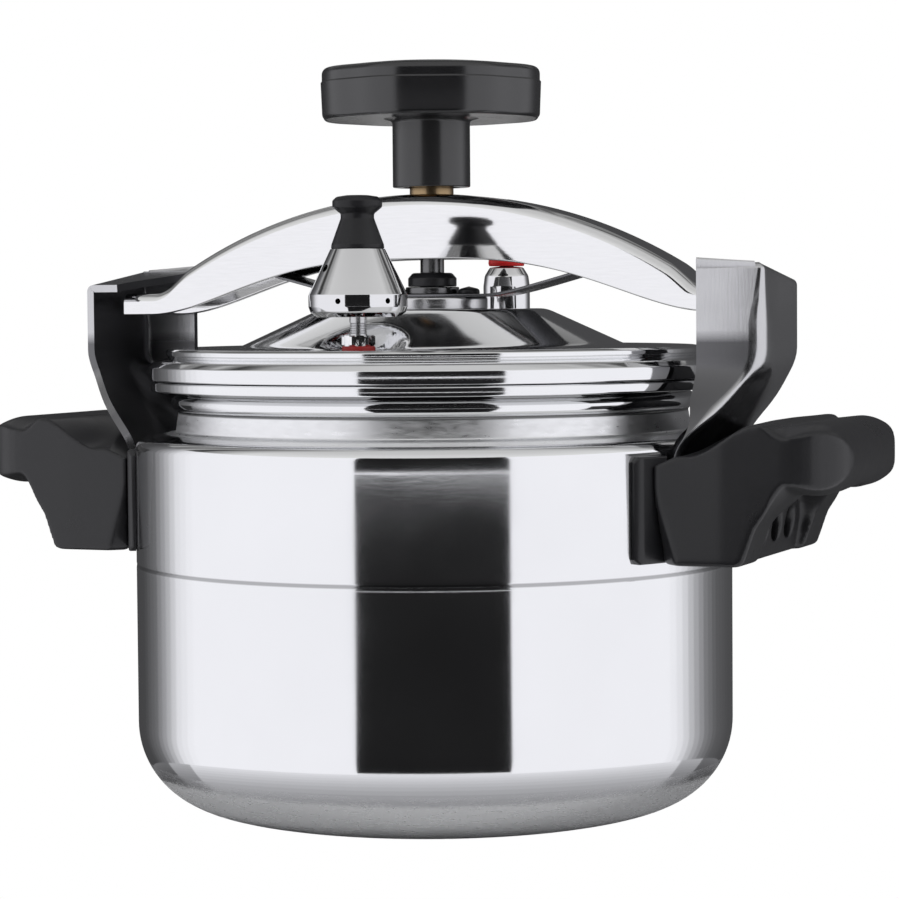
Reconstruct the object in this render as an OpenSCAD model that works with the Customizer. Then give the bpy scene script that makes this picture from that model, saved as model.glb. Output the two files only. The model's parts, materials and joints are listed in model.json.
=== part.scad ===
// Clamp-type pressure canner. A spun pot and lid are held together by a folded
// crossbar, which hooks under two side brackets and is drawn up by a screw knob.
// Millimetres. The origin is the centre of the base, +Z is up, the handles lie
// along +X and -X and the steam regulator stands towards -Y.

/* [Pot] */
// Outer diameter of the pot's wall
pot_d = 200; // [196:1:204]
// Height of the pot, up to the top of its rim flange
pot_h = 142.7; // [138:0.1:147]
// Thickness of the pot's wall
pot_t = 2.5; // [2:0.1:3]
// Outer radius of the rounded foot
foot_r = 28.9; // [22:0.1:34]
// Radius of the neck below the rim
neck_r = 85.5; // [84:0.5:86.5]

/* [Lid] */
// Thickness of the lid's sheet
lid_t = 2; // [1.6:0.1:2.4]
// Height of the lid's plateau above the flange
plateau_up = 23.2; // [22:0.1:24]
// Distance of the steam vent from the axis
vent_y = 62; // [60:0.5:64]
// Distance of the safety valve from the axis
safety_y = 70; // [66:0.5:71]

/* [Crossbar] */
// Width of the folded channel
bar_w = 25; // [24:0.5:26]
// Half of the crossbar's length
bar_half = 110.4; // [109:0.2:111]
// Thickness of the channel's sheet
bar_t = 2.5; // [2:0.1:2.6]
// Radius of the bow along its top
bow_r = 168; // [164:1:176]

/* [Screw and knob] */
// Outer radius of the clamp screw
screw_r = 5.95; // [5.5:0.05:6]
// Diameter of the knob's head
knob_d = 76.8; // [70:0.1:80]
// Height of the knob's head
knob_h = 18.8; // [16:0.2:20]
// Number of lobes round the knob
lobes = 8; // [6:1:9]

/* [Brackets and handles] */
// Width of a bracket above the lid
bracket_w = 40; // [38:1:41]
// Distance from the axis to a bracket's outer face
bracket_u = 121; // [120:0.5:122]
// Width of a handle at the pot
handle_w = 92; // [84:1:96]
// Distance from the axis to a handle's end
handle_u = 151.5; // [149:0.5:156]

/* [Hidden] */
$fn = 96;
e = 0.01;
pot_r = pot_d / 2;
fit = 0.05;                       // radial clearance of a turning or sliding fit
gap = 0.1;                        // clearance between faces that slide on each other

// Levels of the lid and of the stack on its centre
rim_z = pot_h + 0.3;              // lower edge of the lid's band
shelf_z = pot_h + 10.6;           // flat ring of the lid
seat_z = pot_h + 10;              // flat seats of the two valves
plateau_z = pot_h + plateau_up;
plate_z = plateau_z + 4;          // top of the swivel plate
spring_t = 1;
washer_z = plate_z + spring_t;
washer_t = 2.4;
collar_z = washer_z + washer_t + gap;
collar_h = 4.6;
bar_top = pot_h + 61.5;           // crown of the crossbar
tab_z = pot_h + 29.3;             // flat ends of the crossbar
knob_z = bar_top + 2.4;           // underside of the knob's stem
head_z = knob_z + 22.5;           // underside of the knob's head
insert_r = 9;
stem_r = 13.2;
journal_r = 4;

function smooth(t) = let(c = min(1, max(0, t))) c * c * (3 - 2 * c);
function arc(x, y, r, a0, a1, n) =
    [for (i = [0:n]) [x + r * cos(a0 + (a1 - a0) * i / n),
                      y + r * sin(a0 + (a1 - a0) * i / n)]];
function reversed(v) = [for (i = [len(v) - 1:-1:0]) v[i]];

// ---- Pot ----
rivet_z = pot_h - 34;
rivet_r = 2.4;
rivet_angles = [-15, -6, 6, 15];
handle_screw_angles = [-7.3, 0, 7.3];
handle_screw_z = pot_h - 47;
handle_screw_r = 2;
crease_z = pot_h - 61;
shoulder_z = pot_h - 25;
flange_r = neck_r + 9;

module radial(a, z) {
    rotate([0, 0, a]) translate([0, 0, z]) rotate([0, 90, 0]) children();
}

module pot_body() {
    inner_r = foot_r - pot_t;
    color("gainsboro")
    difference() {
        rotate_extrude($fn = 180) polygon(concat(
            [[0, 0]], arc(pot_r - foot_r, foot_r, foot_r, -90, 0, 10),
            [[pot_r, crease_z - 1.4], [pot_r - 0.4, crease_z], [pot_r, crease_z + 1.4]],
            arc(pot_r - 6.5, shoulder_z, 6.5, 0, 80, 5),
            [[neck_r, pot_h - 17.2]], [[neck_r, pot_h - 10]],
            arc(neck_r - 0.7, pot_h - 7.2, 3, -70, 70, 6),
            [[neck_r, pot_h - 3.6], [flange_r - 0.6, pot_h - 3.5], [flange_r, pot_h - 2.9],
             [flange_r, pot_h - 0.6], [flange_r - 0.6, pot_h],
             [neck_r - pot_t, pot_h], [neck_r - pot_t, pot_h - 19.7]],
            reversed(arc(pot_r - 6.5, shoulder_z, 6.5 - pot_t, 0, 80, 4)),
            arc(pot_r - foot_r, foot_r, inner_r, 0, -90, 10), [[0, pot_t]]));
        for (side = [0, 180], a = rivet_angles)
            radial(side + a, rivet_z) translate([0, 0, pot_r - 8]) cylinder(r = rivet_r, h = 16);
    }
}

// ---- Brackets: a strap on the wall, a leaning neck, a web, a roof and one closed side ----
sheet = 2.5;
strap_r = pot_r + 0.1;
neck_top = pot_h + 10;
strap_top = pot_h - 23;
strap_bottom = pot_h - 52;
roof_low = tab_z + 0.5;           // underside of the roof at its open side
roof_rise = 5;                    // how much higher it is at its closed side

module bracket() {
    w = bracket_w / 2;
    web_u = bracket_u - sheet;
    difference() {
        intersection() {
            rotate([0, 0, -22]) rotate_extrude(angle = 44, $fn = 180) polygon([
                [strap_r, strap_bottom], [strap_r + sheet - 0.1, strap_bottom],
                [strap_r + sheet - 0.1, strap_top], [bracket_u, neck_top],
                [web_u, neck_top], [strap_r, strap_top]]);
            rotate([90, 0, 90]) linear_extrude(pot_d) polygon([
                [-w - 16, strap_bottom], [w + 16, strap_bottom], [w + 16, strap_top - 6],
                [w + 6, strap_top + 8], [w, neck_top - 8], [w, neck_top + e],
                [-w, neck_top + e], [-w, neck_top - 8], [-w - 6, strap_top + 8],
                [-w - 16, strap_top - 6]]);
        }
        for (a = rivet_angles)
            radial(a, rivet_z) translate([0, 0, pot_r - 1]) cylinder(r = rivet_r, h = 9);
        for (a = handle_screw_angles)
            radial(a, handle_screw_z) translate([0, 0, pot_r - 1])
                cylinder(r = handle_screw_r, h = 9);
    }
    // web
    translate([web_u, 0, 0]) rotate([90, 0, 90]) linear_extrude(sheet) polygon([
        [-w, neck_top - 1.5], [w, neck_top - 1.5], [w, roof_low + sheet],
        [-w, roof_low + roof_rise + sheet]]);
    // roof, reaching further in towards its closed side
    intersection() {
        rotate([90, 0, 90]) linear_extrude(bracket_u) polygon([
            [-w, roof_low + roof_rise], [w, roof_low], [w, roof_low + sheet],
            [-w, roof_low + roof_rise + sheet]]);
        linear_extrude(pot_d) polygon([[bracket_u, -w], [bracket_u, w], [bracket_u - 12, w],
            [bracket_u - 14, w - 12], [bracket_u - 19, w - 24], [bracket_u - 23, -w + sheet],
            [bracket_u - 23, -w]]);
    }
    // closed side
    translate([0, -w + sheet, 0]) rotate([90, 0, 0]) linear_extrude(sheet) polygon([
        [bracket_u, neck_top - 1.5], [bracket_u, roof_low + roof_rise + sheet],
        [bracket_u - 23, roof_low + roof_rise + sheet - 0.5],
        [bracket_u - 22, roof_low - 4], [web_u - 2, neck_top - 1.5]]);
}

module bracket_right() { color("silver") bracket(); }
module bracket_left() { color("silver") rotate([0, 0, 180]) bracket(); }

module bracket_rivets(side) {
    color("gray")
    for (a = rivet_angles) radial(side + a, rivet_z) {
        translate([0, 0, pot_r - pot_t - 1.6]) cylinder(r = rivet_r, h = 1.6 + pot_t + sheet);
        translate([0, 0, pot_r - pot_t - 1.9]) cylinder(r = 4, h = 1.6);
        translate([0, 0, strap_r + sheet - 0.1]) cylinder(r1 = 4, r2 = 2.8, h = 1.6);
    }
}

module bracket_rivets_right() bracket_rivets(0);
module bracket_rivets_left() bracket_rivets(180);

// ---- Handles ----
back_r = strap_r + sheet + 0.2;   // face of the handle towards strap and pad
handle_bottom = pot_h - 57;
grip_r = 11.5;
grip_z = pot_h - 24;
hump_z = pot_h - 12;

module handle_outline() {
    x = handle_u - 22;
    hull() {
        translate([pot_r - 10, -handle_w / 2]) square([12, handle_w]);
        for (s = [-1, 1]) translate([x, s * (handle_w / 2 - 25)]) circle(r = 22);
    }
}

module handle_side() {
    polygon(concat(
        [[pot_r - 10, handle_bottom], [pot_r + 21, handle_bottom],
         [pot_r + 26, handle_bottom + 13], [pot_r + 29, handle_bottom + 17.6],
         [pot_r + 34.5, handle_bottom + 21.6]],
        arc(handle_u - grip_r, grip_z, grip_r, -90, 90, 14),
        [[pot_r + 30, hump_z - 4], [pot_r + 2, pot_h - 23], [pot_r - 10, pot_h - 23]]));
}

module handle() {
    difference() {
        union() {
            intersection() {
                rotate([90, 0, 0]) translate([0, 0, -pot_r])
                    linear_extrude(2 * pot_r) handle_side();
                linear_extrude(pot_h) handle_outline();
            }
            intersection() {
                translate([pot_r, -22, grip_z]) cube([30, 44, hump_z - grip_z]);
                linear_extrude(pot_h) handle_outline();
            }
        }
        // room for pad, strap and leaning neck
        rotate_extrude($fn = 180) polygon([
            [0, handle_bottom - 1], [back_r, handle_bottom - 1], [back_r, strap_top],
            [bracket_u + 0.5, neck_top], [0, neck_top]]);
        for (a = rivet_angles) radial(a, rivet_z) translate([0, 0, pot_r])
            cylinder(r = 4.6, h = back_r + 1.9 - pot_r);
        for (a = handle_screw_angles) {
            radial(a, handle_screw_z) translate([0, 0, pot_r]) cylinder(r = 2.2, h = 10);
            radial(a, handle_screw_z) translate([0, 0, back_r + 2.6]) cylinder(r = 5, h = 30);
        }
    }
}

module handle_right() { color("dimgray") handle(); }
module handle_left() { color("dimgray") rotate([0, 0, 180]) handle(); }

module handle_pad(side) {
    color("dimgray") rotate([0, 0, side])
    difference() {
        rotate([0, 0, -30]) rotate_extrude(angle = 60, $fn = 180)
            translate([strap_r, handle_bottom + 0.5]) square([sheet, strap_top - handle_bottom]);
        rotate([0, 0, -22.3]) rotate_extrude(angle = 44.6, $fn = 180)
            translate([pot_r - 1, strap_bottom - 0.2]) square([9, pot_h - strap_bottom]);
    }
}

module handle_pad_right() handle_pad(0);
module handle_pad_left() handle_pad(180);

module handle_screws(side) {
    color("silver")
    for (a = handle_screw_angles) radial(side + a, handle_screw_z) difference() {
        union() {
            translate([0, 0, strap_r + 0.3]) cylinder(r = handle_screw_r, h = 6);
            translate([0, 0, back_r + 2.6]) cylinder(r = 4, h = 2.6);
        }
        translate([0, 0, back_r + 4.2]) for (t = [0, 90])
            rotate([0, 0, t]) cube([5, 1, 2.4], center = true);
    }
}

module handle_screws_right() handle_screws(0);
module handle_screws_left() handle_screws(180);

// ---- Lid ----
slope_out = 68;                   // radii between which the dome rises
slope_in = 36;
band_r = flange_r + 0.8;

slope_ease = 0.16;                // share of the slope that is rounded at each end

function eased(t) = let(a = slope_ease)
    t < a ? t * t / (2 * a * (1 - a))
    : t > 1 - a ? 1 - (1 - t) * (1 - t) / (2 * a * (1 - a))
    : (t - a / 2) / (1 - a);
function dome_z(r) =
    shelf_z + (plateau_z - shelf_z) * eased((slope_out - r) / (slope_out - slope_in));
slope_shares = concat([for (i = [0:3]) slope_ease * i / 3],
    [for (i = [3:-1:0]) 1 - slope_ease * i / 3]);
dome = [for (t = slope_shares) let(r = slope_out + (slope_in - slope_out) * t) [r, dome_z(r)]];
rim = [[band_r, rim_z], [band_r, rim_z + 4.1], [band_r - 0.4, rim_z + 5.4],
    [band_r - 1.4, rim_z + 6.2], [neck_r + 2.9, rim_z + 7.6], [neck_r + 4, rim_z + 8.3],
    [neck_r + 4, rim_z + 9.5], [neck_r + 3.4, shelf_z - 0.2], [neck_r + 1, shelf_z]];

// A flat-bottomed pocket for a valve: its cup rises into the dome's sheet
module pocket(y, r) {
    intersection() {
        translate([0, y, seat_z - lid_t]) cylinder(r = r + lid_t, h = plateau_up);
        rotate_extrude($fn = 180) polygon(concat(
            [[0, seat_z - lid_t - 1], [neck_r - 2, seat_z - lid_t - 1],
             [neck_r - 2, shelf_z - lid_t / 2]],
            [for (p = dome) [p[0], p[1] - lid_t / 2]], [[0, plateau_z - lid_t / 2]]));
    }
}

module lid() {
    color("gainsboro")
    difference() {
        union() {
            rotate_extrude($fn = 180) polygon(concat(
                [[neck_r + 7, rim_z]], rim, dome, [[0, plateau_z], [0, plateau_z - lid_t]],
                reversed([for (p = dome) [p[0], p[1] - lid_t]]),
                [[neck_r + 0.6, shelf_z - lid_t], [neck_r + 0.6, rim_z + 4.6],
                 [neck_r + 7, rim_z + 4.6]]));
            pocket(-vent_y, 11);
            pocket(safety_y, 10.5);
        }
        translate([0, -vent_y, seat_z]) cylinder(r = 11, h = plateau_up);
        translate([0, safety_y, seat_z]) cylinder(r = 10.5, h = plateau_up);
        translate([0, -vent_y, seat_z - 9]) cylinder(r = pipe_r, h = 20);
        translate([0, safety_y, seat_z - 9]) cylinder(r = safety_shank_r, h = 20);
    }
}

module gasket() {
    color("black") rotate_extrude($fn = 180)
        translate([neck_r + 0.8, pot_h + gap]) square([6, rim_z + 4.6 - pot_h - gap]);
}

module swivel_plate() {
    color("silver") translate([0, 0, plateau_z]) difference() {
        rotate_extrude() polygon([[0, 0], [18.5, 0], [18.5, 3.2], [17.7, 4], [0, 4]]);
        translate([0, 0, 0.8]) cylinder(r = journal_r + fit, h = 5);
        for (s = [-1, 1]) translate([s * 13.2, 0, 1]) cylinder(r = 1.6, h = 4);
    }
}

module plate_rivets() {
    color("black")
    for (s = [-1, 1]) translate([s * 13.2, 0, plateau_z + 1]) {
        cylinder(r = 1.6, h = 3 + spring_t);
        translate([0, 0, 3 + spring_t])
            rotate_extrude() polygon([[0, 0], [3.65, 0], [3.65, 1.4], [2.6, 2.4], [0, 2.5]]);
    }
}

spring_flat = 25;
spring_tip = 75;
spring_slope = 0.255;
spring_w = 19;

module leaf_spring() {
    lift = (spring_tip - spring_flat) * spring_slope;
    z0 = plate_z;
    color("silver")
    difference() {
        rotate([90, 0, 0]) translate([0, 0, -spring_w / 2]) linear_extrude(spring_w) polygon([
            [-spring_tip, z0 + lift], [-spring_flat, z0], [spring_flat, z0],
            [spring_tip, z0 + lift], [spring_tip, z0 + lift + spring_t],
            [spring_flat, z0 + spring_t], [-spring_flat, z0 + spring_t],
            [-spring_tip, z0 + lift + spring_t]]);
        translate([0, 0, z0 - 1]) cylinder(r = journal_r + 0.5, h = 4);
        for (s = [-1, 1]) translate([s * 13.2, 0, z0 - 1]) cylinder(r = 1.6, h = 4);
    }
}

module ring(outer, inner, z, h) {
    translate([0, 0, z]) difference() {
        cylinder(r = outer, h = h);
        translate([0, 0, -1]) cylinder(r = inner, h = h + 2);
    }
}

module swivel_washer() {
    color("silver") ring(9, journal_r + 0.3, washer_z, washer_t);
}

// ---- Steam vent ----
pipe_r = 2.8;
pipe_top = pot_h + 34;
weight_z = pot_h + 21;

module hex_nut(flats, inner, z, h) {
    translate([0, 0, z]) difference() {
        cylinder(d = flats / cos(30), h = h, $fn = 6);
        translate([0, 0, -1]) cylinder(r = inner, h = h + 2);
    }
}

module vent_pipe() {
    color("silver") translate([0, -vent_y, 0])
        ring(pipe_r, 1.5, seat_z - 8, pipe_top - seat_z + 8);
}
module vent_washer() {
    color("firebrick") translate([0, -vent_y, 0]) ring(5.35, pipe_r, seat_z, 1.8);
}
module vent_nut() {
    color("silver") translate([0, -vent_y, 0]) hex_nut(9.4, pipe_r, seat_z + 1.8, 3.4);
}
module vent_locknut() {
    color("goldenrod") translate([0, -vent_y, 0]) hex_nut(11, pipe_r, seat_z - lid_t - 3.5, 3.5);
}

module vent_filter() {
    z = seat_z - lid_t - 8.5;
    color("silver") translate([0, -vent_y, 0]) difference() {
        translate([0, 0, z]) cylinder(r = 4.8, h = 5);
        translate([0, 0, z + 1]) cylinder(r = 3.8, h = 2.5);
        translate([0, 0, z + 3]) cylinder(r = pipe_r, h = 3);
        for (a = [0:45:315]) rotate([0, 0, a]) translate([2.4, 0, z - 1]) cylinder(r = 0.6, h = 3);
    }
}

// ---- Regulator: a loose weight on the vent ----
cap_z = pot_h + 42.5;

module regulator_weight() {
    color("silver") translate([0, -vent_y, 0]) difference() {
        rotate_extrude() polygon([
            [pipe_r + fit, weight_z], [13.2, weight_z], [15, weight_z + 1.2],
            [15.7, weight_z + 3], [15.7, weight_z + 7], [14.9, weight_z + 8.6],
            [8.5, cap_z], [2.5, cap_z], [2.5, cap_z - 5.4], [0, cap_z - 5.4],
            [0, pipe_top - 1.4], [0.9, pipe_top - 1.4], [1.2, pipe_top + gap],
            [pipe_r + fit, pipe_top + gap]]);
        for (a = [30:60:330]) rotate([0, 0, a]) translate([0, 0, weight_z + 5])
            rotate([0, 90, 0]) cylinder(r = 0.9, h = 20);
        rotate([0, 0, -128]) translate([9.4, 0, weight_z + 14.5])
            rotate([0, 66, 0]) cylinder(r = 1.4, h = 8);
    }
}

module regulator_cap() {
    color("black") translate([0, -vent_y, cap_z]) rotate_extrude() polygon([
        [0, -5.4], [2.5, -5.4], [2.5, 0], [8.5, 0], [8, 1.6], [5.4, 9.5], [5.2, 11],
        [7.4, 13], [7.9, 14], [7.9, 15], [7.3, 16], [5.5, 16.7], [0, 16.9]]);
}

// ---- Safety valve ----
safety_shank_r = 4.2;
safety_top = pot_h + 38;
plug_travel = 3;
spring_bottom = seat_z + 3.6;
spring_top = safety_top - 2.2;

module safety_valve_body() {
    color("silver") translate([0, safety_y, 0]) difference() {
        rotate_extrude() polygon([
            [0, seat_z - 7], [safety_shank_r, seat_z - 7], [safety_shank_r, seat_z + 1],
            [9, seat_z + 1], [9, seat_z + 4], [8.3, seat_z + 5], [8.3, safety_top - 7],
            [7.7, safety_top - 3.4], [6.3, safety_top - 0.8], [5.4, safety_top],
            [0, safety_top]]);
        translate([0, 0, seat_z - 8]) cylinder(r = 2, h = 20);
        translate([0, 0, seat_z + 1.6]) cylinder(r = 5.4, h = spring_top - seat_z - 1.6);
        translate([0, 0, spring_top - 1]) cylinder(r = 2.6 + fit, h = 8);
    }
}

module safety_washer() {
    color("firebrick") translate([0, safety_y, 0]) ring(8.6, safety_shank_r, seat_z, 1);
}
module safety_locknut() {
    color("goldenrod") translate([0, safety_y, 0])
        hex_nut(14, safety_shank_r, seat_z - lid_t - 4, 4);
}

// Helical spring, swept along its coil as a closed tube
coil_r = 4.2;
wire_r = 0.45;
turns = 6;
ring_n = 12;
side_n = 6;

function coil_point(i, j) =
    let(a = 360 * i / ring_n, b = 360 * j / side_n,
        r = coil_r + wire_r * cos(b),
        z = spring_bottom + wire_r + 0.1
            + (spring_top - spring_bottom - 2 * wire_r - 0.2) * i / (turns * ring_n))
    [r * cos(a), r * sin(a), z + wire_r * sin(b)];

module safety_spring() {
    n = turns * ring_n;
    points = [for (i = [0:n], j = [0:side_n - 1]) coil_point(i, j)];
    sides = [for (i = [0:n - 1], j = [0:side_n - 1])
        let(k = (j + 1) % side_n)
        [i * side_n + j, i * side_n + k, (i + 1) * side_n + k, (i + 1) * side_n + j]];
    start = [[for (j = [side_n - 1:-1:0]) j]];
    end = [[for (j = [0:side_n - 1]) n * side_n + j]];
    color("silver") translate([0, safety_y, 0])
        polyhedron(points, concat(sides, start, end), convexity = 10);
}

module safety_plug() {
    color("red") translate([0, safety_y, 0]) rotate_extrude() polygon([
        [0, seat_z + 1.7], [5, seat_z + 1.7], [5, spring_bottom], [2.6, spring_bottom],
        [2.6, safety_top + 0.2], [6.2, safety_top + 0.2], [6.5, safety_top + 1],
        [6.1, safety_top + 4.2], [4.8, safety_top + 5.5], [0, safety_top + 5.9]]);
}

// ---- Crossbar: a bowed channel, open below ----
bar_steps = 44;
bow_end = 86;                     // where the bow turns down to the flat ends
flat_start = 99;
bow_end_z = bar_top - bow_r + sqrt(bow_r * bow_r - bow_end * bow_end);
bow_slope = -bow_end / sqrt(bow_r * bow_r - bow_end * bow_end);

function hermite(t, z0, z1, m0, m1) =
    (2 * t * t * t - 3 * t * t + 1) * z0 + (t * t * t - 2 * t * t + t) * m0
    + (3 * t * t - 2 * t * t * t) * z1 + (t * t * t - t * t) * m1;
function bar_z(u) = let(a = abs(u))
    a <= bow_end ? bar_top - bow_r + sqrt(bow_r * bow_r - a * a)
    : a >= flat_start ? tab_z
    : hermite((a - bow_end) / (flat_start - bow_end), bow_end_z, tab_z,
        bow_slope * (flat_start - bow_end), 0);
function flange_z(u) = pot_h + 39.8 - 17.9 * smooth(pow(min(1, abs(u) / 100), 1.6));
bar_us = [for (i = [-bar_steps:bar_steps]) bar_half * i / bar_steps];

module along_bar(w) {
    rotate([90, 0, 0]) translate([0, 0, -w / 2]) linear_extrude(w) children();
}

module crossbar() {
    color("lightgray")
    difference() {
        along_bar(bar_w) polygon(concat([for (u = bar_us) [u, bar_z(u)]],
            reversed([for (u = bar_us) [u, flange_z(u)]])));
        along_bar(bar_w - 2 * bar_t) polygon(concat(
            [for (u = bar_us) [u * 1.01, bar_z(u) - bar_t]],
            [[bar_half * 1.01, tab_z - 30], [-bar_half * 1.01, tab_z - 30]]));
        translate([0, 0, bar_top - 10]) cylinder(r = 7.42, h = 20);
    }
}

module yoke_nut() {
    half = bar_w / 2 - bar_t;
    color("gray") difference() {
        translate([-11, -half, bar_top - 17.5]) cube([22, 2 * half, 14.6]);
        translate([0, 0, bar_top - 30]) cylinder(r = screw_r + fit, h = 40);
    }
}

module yoke_bush() {
    color("goldenrod") ring(7.4, screw_r + fit, bar_top - 2.9, 5.8);
}

// ---- Screw and knob ----
module clamp_screw() {
    color("silver") rotate_extrude() polygon([
        [0, plateau_z + 1], [journal_r, plateau_z + 1], [journal_r, bar_top - 20],
        [screw_r, bar_top - 18.6], [screw_r, head_z + 9], [0, head_z + 9]]);
}

module screw_collar() {
    color("black") translate([0, 0, collar_z]) rotate_extrude() polygon([
        [journal_r, 0], [8.15, 0], [8.15, 2.6], [7.2, collar_h - 0.4],
        [6.2, collar_h], [journal_r, collar_h]]);
}

module knob_insert() {
    color("goldenrod") ring(insert_r, screw_r, knob_z + 0.6, head_z + 9 - knob_z - 0.6);
}

module knob() {
    r = knob_d / 2;
    top = head_z + knob_h;
    color("dimgray")
    difference() {
        rotate_extrude() polygon(concat(
            [[insert_r, knob_z], [stem_r - 0.5, knob_z], [stem_r, knob_z + 0.5],
             [stem_r, head_z - 1.5], [stem_r + 1.5, head_z + 0.6], [r - 5, head_z],
             [r - 2.4, head_z + 1], [r - 1, head_z + 3.2], [r, top - 7]],
            arc(r - 7, top - 7.2, 7, 10, 80, 5), [[12, top], [0, top]],
            [[0, head_z + 9.1], [insert_r, head_z + 9.1]]));
        for (i = [0:lobes - 1]) rotate([0, 0, 360 * (i + 0.5) / lobes])
            translate([r + 28.6, 0, head_z - 1]) cylinder(r = 30, h = knob_h + 2);
    }
}

pot_body();
bracket_right();
bracket_left();
bracket_rivets_right();
bracket_rivets_left();
handle_right();
handle_left();
handle_pad_right();
handle_pad_left();
handle_screws_right();
handle_screws_left();
lid();
gasket();
swivel_plate();
plate_rivets();
leaf_spring();
swivel_washer();
vent_pipe();
vent_washer();
vent_nut();
vent_locknut();
vent_filter();
safety_valve_body();
safety_washer();
safety_locknut();
safety_spring();
safety_plug();
crossbar();
yoke_nut();
yoke_bush();
clamp_screw();
screw_collar();
knob();
knob_insert();
regulator_weight();
regulator_cap();
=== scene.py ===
"""Looks of the clamp-type pressure canner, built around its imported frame.

Sizes are in millimetres and are turned into metres where a mesh is made. Heights
hang from the pot's rim flange, and widths from the nodes' boxes, as the frame gives them.
"""
import json
import math

import bmesh
import bpy
from mathutils import Matrix, Vector


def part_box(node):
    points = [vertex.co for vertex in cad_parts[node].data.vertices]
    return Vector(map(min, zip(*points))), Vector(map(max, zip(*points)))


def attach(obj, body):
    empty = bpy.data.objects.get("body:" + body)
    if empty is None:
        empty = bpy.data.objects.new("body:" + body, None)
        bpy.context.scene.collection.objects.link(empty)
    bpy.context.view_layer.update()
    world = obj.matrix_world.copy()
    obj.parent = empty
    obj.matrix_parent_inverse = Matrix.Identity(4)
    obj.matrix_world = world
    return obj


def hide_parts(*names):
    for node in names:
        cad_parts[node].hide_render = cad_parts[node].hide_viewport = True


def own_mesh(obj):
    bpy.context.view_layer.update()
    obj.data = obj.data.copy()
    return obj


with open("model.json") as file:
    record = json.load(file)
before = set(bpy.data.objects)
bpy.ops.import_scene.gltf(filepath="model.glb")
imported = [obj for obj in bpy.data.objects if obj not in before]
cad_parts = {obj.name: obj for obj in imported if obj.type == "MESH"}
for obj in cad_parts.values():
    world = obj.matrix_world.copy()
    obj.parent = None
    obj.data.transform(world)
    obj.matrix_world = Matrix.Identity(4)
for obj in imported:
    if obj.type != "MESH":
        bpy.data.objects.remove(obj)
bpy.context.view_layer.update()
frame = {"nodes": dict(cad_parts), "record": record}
MM = 0.001


def node_box(name):
    """Lowest and highest corner of a CAD node, in millimetres."""
    low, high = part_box(name)
    return low / MM, high / MM


def middle_y(name):
    """Middle of a CAD node along Y, in millimetres."""
    low, high = node_box(name)
    return (low.y + high.y) / 2


# ---- Driving sizes, read from the frame ----
POT_R = node_box("pot_body")[1].x
FLANGE = node_box("pot_body")[1].z      # top of the pot's rim flange
LID_R = node_box("lid")[1].x
PLATE_TOP = node_box("swivel_plate")[1].z
BAR_HALF, BAR_V, BAR_TOP = node_box("crossbar")[1]
VENT_Y = middle_y("regulator_weight")
SAFETY_Y = middle_y("safety_valve_body")
BRACKET_U = node_box("bracket_right")[1].x
HANDLE_U = node_box("handle_right")[1].x
HANDLE_LOW = node_box("handle_right")[0].z

# ---- Driving sizes that the frame doesn't state ----
WALL = 2.5                  # sheet of the pot
FOOT_R = 28.9               # rounding at the pot's foot
NECK_R = LID_R - 9.8        # outside of the pot's neck
TAB_Z = FLANGE + 29.3       # top of the crossbar's flat ends
SHEET = 2.5                 # sheet of the brackets
STRAP_R = POT_R + SHEET + 0.1   # outside of a bracket's strap on the wall
STRAP_TOP = FLANGE - 23     # height at which the straps leave the wall
BRACKET_V = 20              # half width of a bracket above the lid
BACK_R = POT_R + 2.9        # back of the handles


# ---- Mesh helpers ----
def rounded(corners, closed=False, steps=5):
    """Outline through (x, y[, radius]) corners, each corner with a radius as an arc."""
    out = []
    count = len(corners)
    for i, corner in enumerate(corners):
        here = Vector(corner[:2])
        radius = corner[2] if len(corner) > 2 else 0
        if radius == 0 or (not closed and i in (0, count - 1)):
            out.append(tuple(here))
            continue
        before = Vector(corners[i - 1][:2]) - here
        after = Vector(corners[(i + 1) % count][:2]) - here
        half = before.angle(after) / 2
        reach = min(radius / math.tan(half), 0.49 * before.length, 0.49 * after.length)
        radius = reach * math.tan(half)
        centre = here + (before.normalized() + after.normalized()).normalized() * radius / math.sin(half)
        start = here + before.normalized() * reach - centre
        end = here + after.normalized() * reach - centre
        sweep = start.angle_signed(end)
        for k in range(steps + 1):
            turn = Matrix.Rotation(-sweep * k / steps, 2)
            out.append(tuple(centre + turn @ start))
    return out


def smooth_step(t):
    """S-shaped step from 0 to 1."""
    t = min(1.0, max(0.0, t))
    return t * t * (3 - 2 * t)


def ease(t, share=0.25):
    """Straight ramp from 0 to 1 with both of its ends rounded."""
    t = min(1.0, max(0.0, t))
    scale = 2 * share * (1 - share)
    if t < share:
        return t * t / scale
    if t > 1 - share:
        return 1 - (1 - t) ** 2 / scale
    return (t - share / 2) / (1 - share)


def mesh_of(name, verts, faces, scale=MM):
    """A mesh from points in millimetres, or in metres with a scale of 1."""
    mesh = bpy.data.meshes.new(name)
    mesh.from_pydata([Vector(v) * scale for v in verts], [], faces)
    mesh.update()
    return mesh


def linked(name, data):
    """A new object in the scene."""
    obj = bpy.data.objects.new(name, data)
    bpy.context.scene.collection.objects.link(obj)
    return obj


def piece(name, verts, faces, body, nodes, slot, sharp=35):
    """A shaded mesh from points in millimetres, riding on a body in place of some nodes."""
    return adopt(name, mesh_of(name, verts, faces), body, nodes, slot, sharp)


def adopt(name, mesh, body, nodes, slot, sharp=35):
    """Cleans and shades a mesh and makes it a piece; edges past the sharp angle stay sharp."""
    work = bmesh.new()
    work.from_mesh(mesh)
    bmesh.ops.remove_doubles(work, verts=work.verts, dist=1e-7)
    bmesh.ops.recalc_face_normals(work, faces=work.faces)
    work.to_mesh(mesh)
    work.free()
    mesh.shade_smooth()
    mesh.set_sharp_from_angle(angle=math.radians(sharp))
    mesh.materials.clear()
    mesh.materials.append(material_of[slot])
    obj = linked(name, mesh)
    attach(obj, body)
    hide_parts(*nodes)
    return obj


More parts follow.
